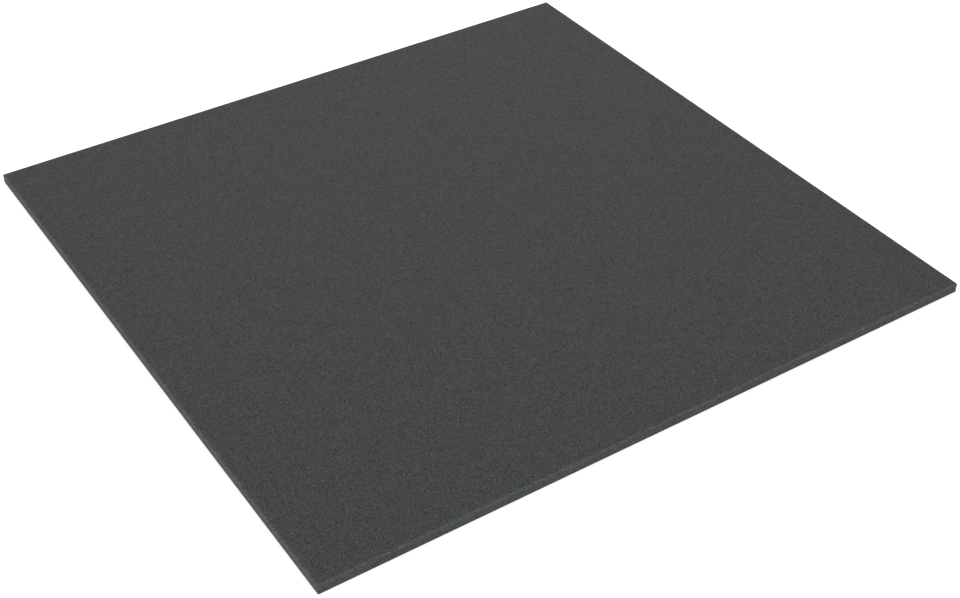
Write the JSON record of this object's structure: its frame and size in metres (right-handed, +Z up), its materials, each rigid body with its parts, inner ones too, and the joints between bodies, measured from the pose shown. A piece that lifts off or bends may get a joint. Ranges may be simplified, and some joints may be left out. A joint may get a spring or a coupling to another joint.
{
  "type": "foam sheet",
  "caption": "Thin flat square sheet of soft dark grey foam with plain faces, straight cut sides and slightly softened rims, used as the plain base, cover or liner of a tray, box or drawer.",
  "frame": {"origin": "middle of the underside, on the surface that the sheet lies on", "axes": "+Z is up, through the thickness; X and Y run along the two pairs of cut sides, which are equally long"},
  "size_m": [0.35, 0.35, 0.005],
  "materials": {
    "foam": "matte"
  },
  "bodies": {
    "root": {"foam_sheet": "foam"}
  },
  "joints": []
}
